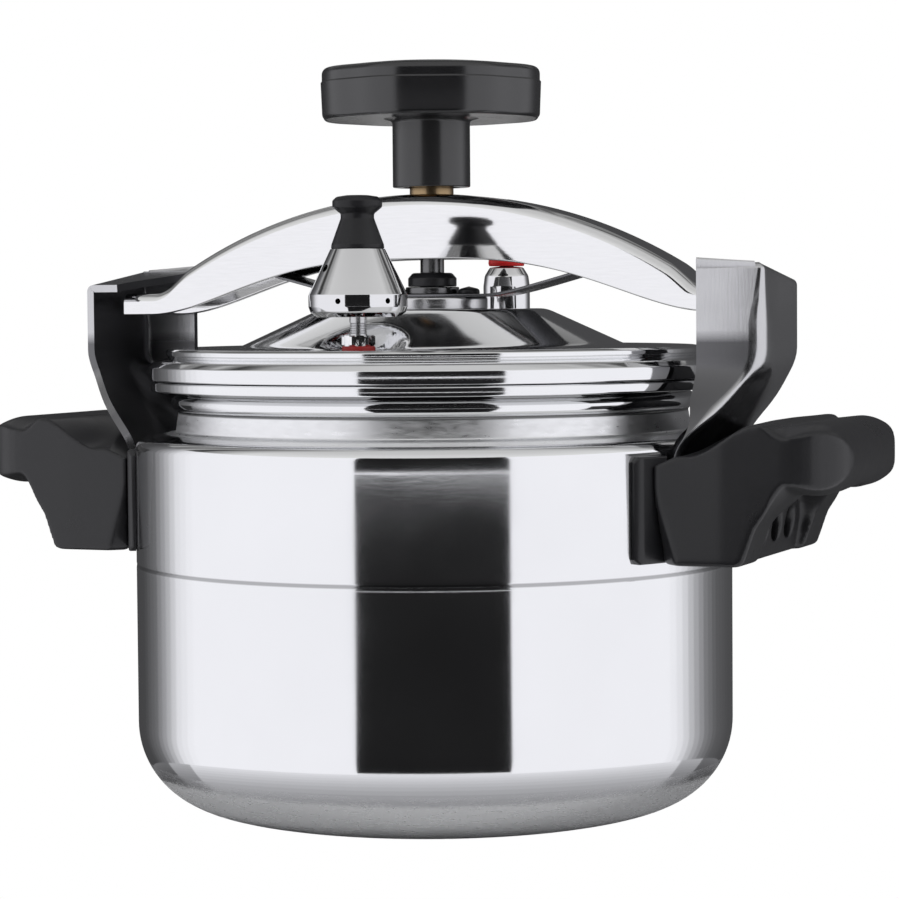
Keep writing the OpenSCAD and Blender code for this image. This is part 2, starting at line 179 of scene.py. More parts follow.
def lathe_mesh(outline, segments=144, centre=(0, 0), closed=False, radius_of=None):
    """Points and faces of an outline of (r, z) turned about a vertical line."""
    verts, rings = [], []
    for r, z in outline:
        if r < 1e-6:
            rings.append([len(verts)] * segments)
            verts.append((centre[0], centre[1], z))
            continue
        rings.append(list(range(len(verts), len(verts) + segments)))
        for k in range(segments):
            a = math.tau * k / segments
            rr = radius_of(r, a) if radius_of else r
            verts.append((centre[0] + rr * math.cos(a), centre[1] + rr * math.sin(a), z))
    faces = []
    pairs = list(zip(rings, rings[1:])) + ([(rings[-1], rings[0])] if closed else [])
    for low, high in pairs:
        for k in range(segments):
            m = (k + 1) % segments
            corner = []
            for index in (low[k], low[m], high[m], high[k]):
                if index not in corner:
                    corner.append(index)
            if len(corner) > 2:
                faces.append(corner)
    return verts, faces


def lathe(name, outline, body, nodes, slot, sharp=35, **options):
    """A turned piece."""
    return piece(name, *lathe_mesh(outline, **options), body, nodes, slot, sharp)


def tube_faces(rows, around):
    """Faces of a sweep with closed ends: rows of points, each row a loop of the same length."""
    faces = []
    for i in range(rows - 1):
        for j in range(around):
            k = (j + 1) % around
            faces.append([i * around + j, i * around + k, (i + 1) * around + k, (i + 1) * around + j])
    faces.append(list(range(around - 1, -1, -1)))
    faces.append([(rows - 1) * around + j for j in range(around)])
    return faces


def scratch(name, verts, faces):
    """A solid that is only worked with, from points in millimetres."""
    mesh = mesh_of(name, verts, faces)
    work = bmesh.new()
    work.from_mesh(mesh)
    bmesh.ops.recalc_face_normals(work, faces=work.faces)
    work.to_mesh(mesh)
    work.free()
    return linked(name, mesh)


def prism(name, outline, low, high, axis="z"):
    """A flat outline pushed along an axis. For axis y the outline is (x, z), for z it is (x, y)."""
    def place(p, t):
        return (p[0], t, p[1]) if axis == "y" else (p[0], p[1], t)
    verts = [place(p, t) for t in (low, high) for p in outline]
    return scratch(name, verts, tube_faces(2, len(outline)))


def rod(name, start, end, radius, segments=32):
    """A plain round cutter between two points."""
    axis = (Vector(end) - Vector(start)).normalized()
    side = axis.orthogonal().normalized()
    other = axis.cross(side)
    verts = []
    for p in (Vector(start), Vector(end)):
        for k in range(segments):
            a = math.tau * k / segments
            verts.append(p + side * radius * math.cos(a) + other * radius * math.sin(a))
    return scratch(name, verts, tube_faces(2, segments))


def combine(obj, other, operation):
    """Boolean of obj with other, applied; other is thrown away."""
    cut = obj.modifiers.new("cut", "BOOLEAN")
    cut.operation = operation
    cut.solver = "EXACT"
    cut.object = other
    bake(obj)
    bpy.data.objects.remove(other)


def bake(obj):
    """Applies every modifier of obj."""
    bpy.context.view_layer.update()
    graph = bpy.context.evaluated_depsgraph_get()
    mesh = bpy.data.meshes.new_from_object(obj.evaluated_get(graph))
    obj.modifiers.clear()
    obj.data = mesh


# ---- Materials ----
BUMP_DISTANCE = 0.0002
RING_STRETCH = 0.02         # how slowly lathe marks change on their way round
BAND_EDGE = 0.4             # soft edge of a brushed or darkened band
MOULD_GRAIN = 1400


def new_material(name, colour, metallic, roughness):
    """A Principled material, with its nodes, links and shader."""
    material = bpy.data.materials.new(name)
    material.use_nodes = True
    shader = material.node_tree.nodes["Principled BSDF"]
    shader.inputs["Base Color"].default_value = (*colour, 1)
    shader.inputs["Metallic"].default_value = metallic
    shader.inputs["Roughness"].default_value = roughness
    return material, material.node_tree.nodes, material.node_tree.links, shader


def math_node(nodes, links, operation, first, second=None):
    """A Math node on one or two values, each a socket or a number."""
    node = nodes.new("ShaderNodeMath")
    node.operation = operation
    for socket, value in zip(node.inputs, (first, second)):
        if value is None:
            continue
        if isinstance(value, (int, float)):
            socket.default_value = value
        else:
            links.new(value, socket)
    return node.outputs[0]


def noise(nodes, links, vector, scale, detail=3, rough=0.5):
    node = nodes.new("ShaderNodeTexNoise")
    node.inputs["Scale"].default_value = scale
    node.inputs["Detail"].default_value = detail
    node.inputs["Roughness"].default_value = rough
    links.new(vector, node.inputs["Vector"])
    return node.outputs["Fac"]


def span(nodes, links, value, low, high, to_low, to_high):
    """Maps low..high to to_low..to_high, held at its ends."""
    node = nodes.new("ShaderNodeMapRange")
    for socket, number in zip(list(node.inputs)[1:5], (low, high, to_low, to_high)):
        socket.default_value = number
    links.new(value, node.inputs[0])
    return node.outputs[0]


def bump(nodes, links, shader, height, strength):
    node = nodes.new("ShaderNodeBump")
    node.inputs["Strength"].default_value = strength
    node.inputs["Distance"].default_value = BUMP_DISTANCE
    links.new(height, node.inputs["Height"])
    links.new(node.outputs["Normal"], shader.inputs["Normal"])


def scaled(colour, share):
    return tuple(c * share for c in colour)


def mix_colour(nodes, links, factor, first, second):
    """A mix of two colours, each given as a socket or as three numbers."""
    mix = nodes.new("ShaderNodeMix")
    mix.data_type = "RGBA"
    links.new(factor, mix.inputs["Factor"])
    for socket, colour in ((mix.inputs["A"], first), (mix.inputs["B"], second)):
        if isinstance(colour, tuple):
            socket.default_value = (*colour, 1)
        else:
            links.new(colour, socket)
    return mix.outputs["Result"]


def turned_vector(nodes, links):
    """Object coordinates wound round the Z axis, so that noise runs in rings as lathe marks do."""
    place = nodes.new("ShaderNodeTexCoord").outputs["Object"]
    split = nodes.new("ShaderNodeSeparateXYZ")
    links.new(place, split.inputs[0])
    angle = math_node(nodes, links, "ARCTAN2", split.outputs[1], split.outputs[0])
    angle = math_node(nodes, links, "MULTIPLY", angle, RING_STRETCH)
    flat = nodes.new("ShaderNodeCombineXYZ")
    links.new(split.outputs[0], flat.inputs[0])
    links.new(split.outputs[1], flat.inputs[1])
    length = nodes.new("ShaderNodeVectorMath")
    length.operation = "LENGTH"
    links.new(flat.outputs[0], length.inputs[0])
    wound = nodes.new("ShaderNodeCombineXYZ")
    links.new(length.outputs["Value"], wound.inputs[0])
    links.new(angle, wound.inputs[1])
    links.new(split.outputs[2], wound.inputs[2])
    return wound.outputs[0], place, split


def spun_metal(name, colour, roughness, wear, ring_depth, brushed=(), darkened_bands=()):
    """Polished spun metal with faint rings and clouded polish.

    Each brushed band is (low, high, roughness), and each darkened band is (low, high, share of the colour),
    with its colour scaled down by that share.
    """
    material, nodes, links, shader = new_material(name, colour, 1, roughness)
    wound, place, split = turned_vector(nodes, links)
    rings = noise(nodes, links, wound, 900, 4, 0.6)
    clouds = noise(nodes, links, place, 22, 3)
    polish = span(nodes, links, clouds, 0.3, 0.7, roughness, roughness + wear)
    tinted = mix_colour(nodes, links, clouds, colour, scaled(colour, 0.93))

    def band(low, high):
        above = span(nodes, links, split.outputs[2], (low - BAND_EDGE) * MM, low * MM, 0, 1)
        below = span(nodes, links, split.outputs[2], high * MM, (high + BAND_EDGE) * MM, 1, 0)
        return math_node(nodes, links, "MULTIPLY", above, below)

    for low, high, satin in brushed:
        grain = span(nodes, links, rings, 0.3, 0.7, satin - 0.08, satin + 0.08)
        grain = math_node(nodes, links, "MULTIPLY", band(low, high), grain)
        polish = math_node(nodes, links, "MAXIMUM", polish, grain)
    # Darkened bands scale the colour down at some heights; on the pot they are painted shade.
    for low, high, shade in darkened_bands:
        tinted = mix_colour(nodes, links, band(low, high), tinted, scaled(colour, shade))
    links.new(tinted, shader.inputs["Base Color"])
    links.new(polish, shader.inputs["Roughness"])
    bump(nodes, links, shader, rings, ring_depth)
    return material


def sheet_metal(name, colour, roughness, wear, depth, stretch=(1, 12, 12), painted_shade_inside=False):
    """Polished sheet with fine drawn lines.

    With painted_shade_inside, faces that look towards the middle of the part get painted shade, a near-black
    colour, and a higher roughness, and so do the low flanks.
    """
    material, nodes, links, shader = new_material(name, colour, 1, roughness)
    place = nodes.new("ShaderNodeTexCoord").outputs["Object"]
    mapping = nodes.new("ShaderNodeMapping")
    mapping.inputs["Scale"].default_value = stretch
    links.new(place, mapping.inputs["Vector"])
    lines = noise(nodes, links, mapping.outputs[0], 120, 4, 0.6)
    clouds = noise(nodes, links, place, 40, 3)
    polish = span(nodes, links, clouds, 0.3, 0.7, roughness, roughness + wear)
    tinted = mix_colour(nodes, links, lines, colour, scaled(colour, 0.9))
    if painted_shade_inside:
        # Painted shade mask: faces looking towards the middle of the part, and side faces below the flange's
        # height plus 12 to 16 mm.
        spot, facing = nodes.new("ShaderNodeSeparateXYZ"), nodes.new("ShaderNodeSeparateXYZ")
        links.new(place, spot.inputs[0])
        links.new(nodes.new("ShaderNodeNewGeometry").outputs["Normal"], facing.inputs[0])
        side = math_node(nodes, links, "SIGN", spot.outputs[0])
        away = math_node(nodes, links, "MULTIPLY", side, facing.outputs[0])
        inside = span(nodes, links, away, -0.55, -0.3, 1, 0)
        flank = span(nodes, links, math_node(nodes, links, "ABSOLUTE", facing.outputs[0]), 0.15, 0.5, 0.8, 0)
        low = span(nodes, links, spot.outputs[2], (FLANGE + 12) * MM, (FLANGE + 16) * MM, 1, 0)
        inside = math_node(nodes, links, "MAXIMUM", inside, math_node(nodes, links, "MULTIPLY", flank, low))
        # Painted shade: near-black colour where the mask is set.
        tinted = mix_colour(nodes, links, inside, tinted, (0.06, 0.06, 0.065))
        dull = math_node(nodes, links, "MULTIPLY", inside, 0.38)
        polish = math_node(nodes, links, "MAXIMUM", polish, dull)
    links.new(polish, shader.inputs["Roughness"])
    links.new(tinted, shader.inputs["Base Color"])
    bump(nodes, links, shader, lines, depth)
    return material


def moulded(name, colour, roughness, grain=0.12, coat=0.0, specular=0.28):
    """Moulded plastic or rubber: fine grain, clouded gloss, slightly paler where it is rubbed."""
    material, nodes, links, shader = new_material(name, colour, 0, roughness)
    shader.inputs["Specular IOR Level"].default_value = specular
    shader.inputs["Coat Weight"].default_value = coat
    shader.inputs["Coat Roughness"].default_value = 0.25
    place = nodes.new("ShaderNodeTexCoord").outputs["Object"]
    fine = noise(nodes, links, place, MOULD_GRAIN, 2)
    clouds = noise(nodes, links, place, 35, 4, 0.6)
    gloss = span(nodes, links, clouds, 0.25, 0.75, roughness - 0.06, roughness + 0.1)
    links.new(gloss, shader.inputs["Roughness"])
    rubbed = tuple(min(1, c * 1.3 + 0.003) for c in colour)
    links.new(mix_colour(nodes, links, clouds, scaled(colour, 0.8), rubbed), shader.inputs["Base Color"])
    bump(nodes, links, shader, fine, grain)
    return material


ALU = (0.90, 0.905, 0.915)
material_of = {
    "pot_aluminium": spun_metal(
        "pot_aluminium", ALU, 0.05, 0.05, 0.012,
        brushed=[(FLANGE - 17.5, FLANGE - 10.4, 0.34), (-1, 17, 0.24)],
        # Painted shade: a thin dark line in the wall's crease, and dark lines in the corners below and above
        # the neck's bead.
        darkened_bands=[(FLANGE - 61.3, FLANGE - 60.5, 0.5), (FLANGE - 10.6, FLANGE - 9.9, 0.3),
                 (FLANGE - 4.2, FLANGE - 3.7, 0.3)]),
    "lid_aluminium": spun_metal("lid_aluminium", ALU, 0.05, 0.05, 0.012),
    "bright_steel": sheet_metal("bright_steel", (0.92, 0.92, 0.925), 0.05, 0.05, 0.03),
    # The brackets get painted shade, near black, on their inward faces and low flanks.
    "bracket_chrome": sheet_metal("bracket_chrome", (0.62, 0.62, 0.63), 0.16, 0.08, 0.08, (10, 10, 1),
                                  painted_shade_inside=True),
    "machined_steel": spun_metal("machined_steel", (0.66, 0.66, 0.67), 0.16, 0.12, 0.1,
                                 # Darker from just above the swivel plate up to the crossbar's top, over the
                                 # screw's stretch under the bar.
                                 darkened_bands=[(PLATE_TOP + 0.6, BAR_TOP, 0.25)]),
    "spring_steel": sheet_metal("spring_steel", (0.2, 0.2, 0.21), 0.2, 0.12, 0.1),
    "blackened_steel": moulded("blackened_steel", (0.012, 0.012, 0.014), 0.32, 0.1, 0.1),
    "phenolic": moulded("phenolic", (0.009, 0.009, 0.0105), 0.3, 0.10, 0.06, specular=0.45),
    "knob_phenolic": moulded("knob_phenolic", (0.005, 0.005, 0.006), 0.22, 0.06, 0.25, specular=0.8),
    "brass": spun_metal("brass", (0.42, 0.30, 0.17), 0.22, 0.12, 0.1),
    "gasket_rubber": moulded("gasket_rubber", (0.02, 0.02, 0.02), 0.6),
    "red_silicone": moulded("red_silicone", (0.22, 0.012, 0.012), 0.4),
    "plug_red": moulded("plug_red", (0.55, 0.012, 0.012), 0.35),
    "weight_chrome": spun_metal("weight_chrome", (0.82, 0.82, 0.83), 0.04, 0.04, 0.03),
    "cap_black": moulded("cap_black", (0.008, 0.008, 0.0095), 0.34, 0.1, 0.1),
}


# ---- Pot ----
def pot():
    foot, inner_foot = FOOT_R, FOOT_R - WALL
    inside, neck_inside = POT_R - WALL, NECK_R - WALL
    outline = rounded([(0, 0.6), (POT_R - foot - 6, 0.6, 3), (POT_R - foot - 4.5, 0, 2)], steps=3)
    for k in range(25):
        a = math.radians(-90 + 90 * k / 24)
        outline.append((POT_R - foot + foot * math.cos(a), foot + foot * math.sin(a)))
    crease = FLANGE - 61
    outline += [(POT_R, foot + 0.8), (POT_R, crease - 2)]
    for k in range(9):
        t = -1 + k / 4
        outline.append((POT_R - 0.12 * (1 - t * t) ** 2, crease + t))
    outline += rounded([
        (POT_R, crease + 2), (POT_R, FLANGE - 27), (POT_R, FLANGE - 18.8, 6.3),
        (NECK_R + 1, FLANGE - 17.2, 1.2), (NECK_R, FLANGE - 10.6, 0.5),
        (NECK_R + 0.4, FLANGE - 10, 0.4)], steps=10)
    for k in range(11):
        a = math.radians(-75 + 150 * k / 10)
        outline.append((NECK_R - 0.7 + 3 * math.cos(a), FLANGE - 7.2 + 3 * math.sin(a)))
    outline += rounded([
        (NECK_R + 0.2, FLANGE - 3.8), (NECK_R + 0.6, FLANGE - 3.5, 0.4), (LID_R - 0.8, FLANGE - 3.4, 0.6),
        (LID_R - 0.8, FLANGE, 0.8), (neck_inside, FLANGE, 0.8), (neck_inside, FLANGE - 19.7, 2),
        (inside, FLANGE - 21, 6), (inside, foot + 0.2)], steps=5)
    for k in range(13):
        a = math.radians(-90 * k / 12)
        outline.append((POT_R - foot + inner_foot * math.cos(a), foot + inner_foot * math.sin(a)))
    outline.append((0, WALL))
    lathe("pot_shell", outline, "pot", ["pot_body"], "pot_aluminium", segments=288)


# ---- Lid ----
SEAT_Z = FLANGE + 10            # flats under the two valves
SHELF_Z = FLANGE + 10.6         # ring round the dome
PLATEAU_Z = FLANGE + 23.2
SKIN = 2                        # sheet of the lid


def dome_height(r):
    return SHELF_Z + (PLATEAU_Z - SHELF_Z) * ease((68 - r) / 32, 0.14)


def lid_height(x, y):
    """Top of the lid inside its rim: the dome, flattened round the two valves."""
    z = dome_height(math.hypot(x, y))
    for cy, across, along in ((VENT_Y, 13.5, 11.5), (SAFETY_Y, 12, 11)):
        d = math.hypot(x / across, (y - cy) / along)
        z += (SEAT_Z - z) * smooth_step((1.22 - d) / 0.3)
    return z


def lid():
    segments = 288
    rim = rounded([
        (LID_R - 3, FLANGE + 0.3), (LID_R, FLANGE + 0.3, 0.5), (LID_R, FLANGE + 4.6, 1.0),
        (LID_R - 1.6, FLANGE + 6.5, 1.8), (NECK_R + 2.9, FLANGE + 7.9, 0.7),
        (NECK_R + 4, FLANGE + 8.5, 0.5), (NECK_R + 4, FLANGE + 9.9, 0.6),
        (NECK_R + 2.8, SHELF_Z + 0.1, 1.0), (NECK_R + 0.6, SHELF_Z)], steps=6)
    verts, rows = [], []

    def ring(r, height):
        rows.append(len(verts))
        for k in range(segments):
            a = math.tau * k / segments
            x, y = r * math.cos(a), r * math.sin(a)
            verts.append((x, y, height(x, y) if callable(height) else height))

    def under(x, y):
        return lid_height(x, y) - SKIN

    for r, z in rim:
        ring(r, z)
    radii = [NECK_R - 1 - k for k in range(int(NECK_R - 2))]
    for r in radii:
        ring(r, lid_height)
    top = len(verts)
    verts.append((0, 0, PLATEAU_Z))
    top_row = rows[-1]
    for r in reversed(radii[::3]):
        ring(r, under)
    for r, z in ((NECK_R + 0.6, SHELF_Z - SKIN), (NECK_R + 0.6, FLANGE + 4.9), (LID_R - 3, FLANGE + 4.9)):
        ring(r, z)
    faces = []
    split = rows.index(top_row)
    for i in range(len(rows)):
        if i == split:
            continue
        a0, b0 = rows[i], rows[(i + 1) % len(rows)]
        for k in range(segments):
            m = (k + 1) % segments
            faces.append([a0 + k, a0 + m, b0 + m, b0 + k])
    bottom = len(verts)
    verts.append((0, 0, PLATEAU_Z - SKIN))
    inner = rows[split + 1]
    for k in range(segments):
        m = (k + 1) % segments
        faces.append([top_row + k, top_row + m, top])
        faces.append([inner + m, inner + k, bottom])
    piece("lid_shell", verts, faces, "lid", ["lid"], "lid_aluminium", 60)


# ---- Centre stack ----
def centre_stack():
    plate_low = node_box("swivel_plate")[0].z
    lathe("swivel_disc", rounded([
        (0, plate_low), (18.5, plate_low, 0.3), (18.5, PLATE_TOP, 0.9), (4.4, PLATE_TOP, 0.2),
        (4.4, plate_low + 1), (0, plate_low + 1)]), "lid", ["swivel_plate"], "machined_steel")
    low, high = node_box("swivel_washer")
    lathe("centre_washer", rounded([
        (4.3, low.z, 0.2), (9, low.z, 0.3), (9, high.z, 0.5), (4.3, high.z, 0.3)], closed=True),
        "lid", ["swivel_washer"], "machined_steel", closed=True)
    low, high = node_box("plate_rivets")
    verts, faces = [], []
    for side in (-1, 1):
        v, f = lathe_mesh(rounded([
            (0, low.z), (1.6, low.z), (1.6, high.z - 2.5), (3.65, high.z - 2.5, 0.3),
            (3.5, high.z - 0.9, 1.2), (0, high.z)]), 48, (side * 13.2, 0))
        faces += [[i + len(verts) for i in face] for face in f]
        verts += v
    piece("rivet_heads", verts, faces, "lid", ["plate_rivets"], "blackened_steel")
    low, high = node_box("screw_collar")
    lathe("foot_collar", rounded([
        (4, low.z), (8.15, low.z, 0.4), (8.15, high.z - 1.8, 0.6), (6.6, high.z, 1.2), (4, high.z)],
        closed=True), "screw", ["screw_collar"], "blackened_steel",
        closed=True)


def leaf_spring():
    """Bowed strip that holds the crossbar up when the knob is loose."""
    low, high = node_box("leaf_spring")
    half_w = high.y
    tip = high.x
    thick = 1.0
    corner = 4
    rise = high.z - low.z - thick
    flat, ease_in = 22, 6
    stations = []
    for k in range(-60, 61):
        u = tip * math.sin(math.pi / 2 * k / 60)
        over = max(0.0, abs(u) - flat)
        z = low.z + rise * (over - ease_in * (1 - math.exp(-over / ease_in))) / (tip - flat - ease_in)
        stations.append((u, z))
    verts = []
    for u, z in stations:
        room = max(0.0, tip - abs(u))
        w = half_w - corner + math.sqrt(max(0.0, corner ** 2 - max(0.0, corner - room) ** 2))
        section = rounded([(-w, 0, 0.3), (w, 0, 0.3), (w, thick, 0.3), (-w, thick, 0.3)],
                          closed=True, steps=3)
        verts += [(u, v, z + t) for v, t in section]
    around = len(verts) // len(stations)
    faces = tube_faces(len(stations), around)
    leaf = piece("bowed_spring", verts, faces, "lid", ["leaf_spring"], "spring_steel")
    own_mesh(leaf)


# ---- Valves ----
def hex_nut(name, flats, height, z, centre, bore, body, nodes, slot):
    """Hexagon nut with both faces chamfered to a circle."""
    count, verts, rows = 72, [], []
    inner = flats / 2
    for t, cut in ((0, 1), (0.12, 0), (0.88, 0), (1, 1)):
        rows.append(len(verts))
        for k in range(count):
            a = math.tau * k / count
            to_flat = (a + math.pi / 6) % (math.pi / 3) - math.pi / 6
            r = inner / math.cos(to_flat)
            r = min(r, inner * 1.01) if cut else min(r, inner * 1.14)
            verts.append((centre[0] + r * math.cos(a), centre[1] + r * math.sin(a), z + t * height))
    for t in (1, 0):
        rows.append(len(verts))
        for k in range(count):
            a = math.tau * k / count
            verts.append((centre[0] + bore * math.cos(a), centre[1] + bore * math.sin(a), z + t * height))
    faces = []
    for i in range(len(rows)):
        a0, b0 = rows[i], rows[(i + 1) % len(rows)]
        for k in range(count):
            m = (k + 1) % count
            faces.append([a0 + k, a0 + m, b0 + m, b0 + k])
    piece(name, verts, faces, body, nodes, slot, 25)


def vent():
    at = (0, VENT_Y)
    low, high = node_box("vent_washer")
    lathe("vent_seal", rounded([
        (2.8, low.z), (5.35, low.z, 0.6), (5.35, high.z, 0.6), (2.8, high.z)], closed=True),
        "lid", ["vent_washer"], "red_silicone", segments=64, centre=at,
        closed=True)
    low, high = node_box("vent_nut")
    hex_nut("vent_hex", 9.4, high.z - low.z, low.z, at, 2.8, "lid", ["vent_nut"], "bright_steel")
    low, high = node_box("vent_pipe")
    base = node_box("vent_nut")[1].z
    outline = [(1.5, low.z), (2.8, low.z), (2.8, base)]
    for k in range(5):
        z = base + 0.4 + k * 0.75
        outline += [(2.8, z), (2.45, z + 0.3), (2.8, z + 0.6)]
    outline += rounded([(2.8, high.z - 4), (2.8, high.z, 0.5), (1.5, high.z, 0.3), (1.5, high.z - 3)])
    lathe("vent_stem", outline, "lid", ["vent_pipe"], "machined_steel",
          segments=64, centre=at, closed=True)


COUNTERSINK_AT = -128        # degrees round the weight


def heading(angle):
    """Level direction at so many degrees from +X."""
    a = math.radians(angle)
    return Vector((math.cos(a), math.sin(a), 0))


def regulator():
    """Loose weight with a blind bore, six holes round its band and a countersink, and its cap."""
    at = (0, VENT_Y)
    low, high = node_box("regulator_weight")
    z = low.z
    bore = 2.9
    count = 128
    shape = rounded([
        (bore, z), (13.0, z, 0.5), (15.1, z + 1.5, 1.2), (15.7, z + 3.2, 1.0), (15.7, z + 7, 0.9),
        (14.6, z + 9.2, 1.6), (8.7, high.z, 0.3), (2.5, high.z), (2.5, high.z - 5.4),
        (0, high.z - 5.4)], steps=6)
    seat = FLANGE + 32.6
    shape += [(0, seat), (0.9, seat), (1.2, seat + 1.5), (bore, seat + 1.5)]
    verts, faces = lathe_mesh(shape, count, at)
    mouth_ring = [i for i, v in enumerate(verts) if abs(v[2] - z) < 1e-6][:count]
    seat_ring = list(range(len(verts) - count, len(verts)))
    for k in range(count):
        m = (k + 1) % count
        faces.append([seat_ring[k], seat_ring[m], mouth_ring[m], mouth_ring[k]])
    body = scratch("weight_work", verts, faces)
    centre = Vector((0, VENT_Y, 0))
    hole_z = Vector((0, 0, z + 5))
    for k in range(6):
        out = heading(30 + 60 * k)
        combine(body, rod("cut", centre + out + hole_z, centre + out * 20 + hole_z, 0.9, 20), "DIFFERENCE")
    out = heading(COUNTERSINK_AT)
    mouth = centre + out * 11.2 + Vector((0, 0, z + 15.2))
    inward = (out * -0.9 + Vector((0, 0, -0.42))).normalized()
    combine(body, rod("cut", mouth - inward * 4, mouth + inward * 7, 1.3, 28), "DIFFERENCE")
    mesh = body.data
    bpy.data.objects.remove(body)
    adopt("weight_cone", mesh, "weight", ["regulator_weight"], "weight_chrome", 30)
    low, high = node_box("regulator_cap")
    base = node_box("regulator_weight")[1].z
    lathe("weight_cap", rounded([
        (0, low.z), (2.5, low.z), (2.5, base), (8.5, base, 0.4), (8.3, base + 1.4, 0.5),
        (5.3, base + 9.6, 1.5), (5.3, base + 11, 1), (7.9, base + 13.1, 1.2),
        (7.9, base + 15.2, 0.9), (6.6, high.z - 0.5, 1.5), (3.4, high.z, 0.5),
        (2.8, high.z - 0.9, 0.4), (0, high.z - 1)], steps=6),
        "weight", ["regulator_cap"], "cap_black", segments=96, centre=at)


def safety_valve():
    at = (0, SAFETY_Y)
    low, high = node_box("safety_valve_body")
    top = high.z
    lathe("safety_housing", rounded([
        (0, low.z), (4.2, low.z, 0.4), (4.2, SEAT_Z + 1), (9, SEAT_Z + 1, 0.4), (9, SEAT_Z + 4, 0.5),
        (8.3, SEAT_Z + 4.6, 0.4), (8.3, top - 7, 3), (7.8, top - 3.2, 3), (6, top - 0.3, 1), (3.6, top, 0.3),
        (2.7, top, 0.2), (2.7, top - 2)], steps=6), "lid", ["safety_valve_body"], "weight_chrome",
        segments=96, centre=at)
    low, high = node_box("safety_washer")
    lathe("safety_seal", rounded([
        (4.2, low.z), (8.6, low.z, 0.4), (8.6, high.z, 0.4), (4.2, high.z)], closed=True), "lid",
        ["safety_washer"], "red_silicone", segments=64, centre=at, closed=True)
    low, high = node_box("safety_plug")
    lathe("safety_button", rounded([
        (0, low.z), (5, low.z, 0.3), (5, low.z + 1.9, 0.3), (2.6, low.z + 1.9), (2.6, top + 0.2),
        (6.2, top + 0.2, 0.4), (6.5, top + 1.2, 0.6), (6.2, top + 4.2, 1.6), (3.4, high.z, 2),
        (0, high.z)], steps=6), "plug", ["safety_plug"], "plug_red", segments=64, centre=at)


def valve_spring():
    """Coil that holds the safety plug down, wound at one even pitch."""
    low, high = node_box("safety_spring")
    wire, turns, around, travel = 0.45, 6, 10, 3
    coil = high.x - wire
    steps = turns * 28
    verts = []
    for i in range(steps + 1):
        a = math.tau * i * turns / steps
        z = low.z + wire + (high.z - low.z - 2 * wire) * i / steps
        for j in range(around):
            b = math.tau * j / around
            r = coil + wire * math.cos(b)
            verts.append((r * math.cos(a), SAFETY_Y + r * math.sin(a), z + wire * math.sin(b)))
    faces = tube_faces(steps + 1, around)
    spring = piece("coil_spring", verts, faces, "lid", ["safety_spring"], "spring_steel")
    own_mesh(spring)


# ---- Crossbar ----
BOW_END, FLAT_START, BOW_R = 86, 99, 168


def bar_top(u):
    """Top of the crossbar: a bow, an eased stretch, and the flat ends."""
    a = abs(u)
    run = math.sqrt(BOW_R ** 2 - min(a, BOW_END) ** 2)
    if a <= BOW_END:
        return BAR_TOP - BOW_R + run
    start, slope, width = BAR_TOP - BOW_R + run, -BOW_END / run, FLAT_START - BOW_END
    t = min(1.0, (a - BOW_END) / width)
    return ((2 * t ** 3 - 3 * t ** 2 + 1) * start + (t ** 3 - 2 * t ** 2 + t) * slope * width
            + (3 * t ** 2 - 2 * t ** 3) * TAB_Z)


def bar_flange(u):
    """Lower edge of the crossbar's two sides."""
    return FLANGE + 39.8 - 17.9 * smooth_step(min(1.0, abs(u) / 100) ** 1.6)


def crossbar():
    sheet, fold = 2.5, 4.6
    half_rows = 110
    rows = 2 * half_rows + 1
    verts = []
    for k in range(-half_rows, half_rows + 1):
        u = BAR_HALF * k / half_rows
        top, low = bar_top(u), bar_flange(u)
        v = BAR_V
        section = rounded([
            (-v, low, 0.6), (-v, top, fold), (v, top, fold), (v, low, 0.6),
            (v - sheet, low, 0.6), (v - sheet, top - sheet, fold - sheet),
            (-v + sheet, top - sheet, fold - sheet), (-v + sheet, low, 0.6)], closed=True, steps=6)
        verts += [(u, p, q) for p, q in section]
    faces = tube_faces(rows, len(verts) // rows)
    piece("channel_bar", verts, faces, "yoke", ["crossbar"], "bright_steel", 40)
    low, high = node_box("yoke_bush")
    lathe("brass_ring", rounded([
        (6.1, low.z), (7.35, low.z), (7.35, high.z, 0.5), (6.1, high.z, 0.3)], closed=True), "yoke",
        ["yoke_bush"], "brass", segments=96, closed=True)


# ---- Screw and knob ----
def screw():
    low, high = node_box("clamp_screw")
    pitch, per_turn, depth = 2.5, 40, 0.8
    major = high.x
    start, end = BAR_TOP - 18.6, high.z
    verts = []
    turns = (end - start) / pitch
    steps = int(turns * per_turn)
    for i in range(steps + 1):
        a = math.tau * i / per_turn
        z = start + pitch * i / per_turn
        fade = min(1.0, i / per_turn, (steps - i) / per_turn)
        for r, dz in ((major - depth - 0.6, -0.5), (major - depth, -0.5), (major - depth * (1 - fade), 0),
                      (major - depth, 0.5)):
            verts.append((r * math.cos(a), r * math.sin(a), z + dz * pitch))
    faces = tube_faces(steps + 1, 4)
    core, core_faces = lathe_mesh(rounded([
        (0, low.z), (4, low.z, 0.5), (4, start - 1.4, 0.3), (major - depth, start, 0.3),
        (major - depth, end, 0.4), (0, end)]), 64)
    faces += [[i + len(verts) for i in face] for face in core_faces]
    piece("threaded_rod", verts + core, faces, "screw", ["clamp_screw"], "machined_steel", 40)


LOBES, LOBE_DEPTH, LOBE_START = 8, 1.3, 20


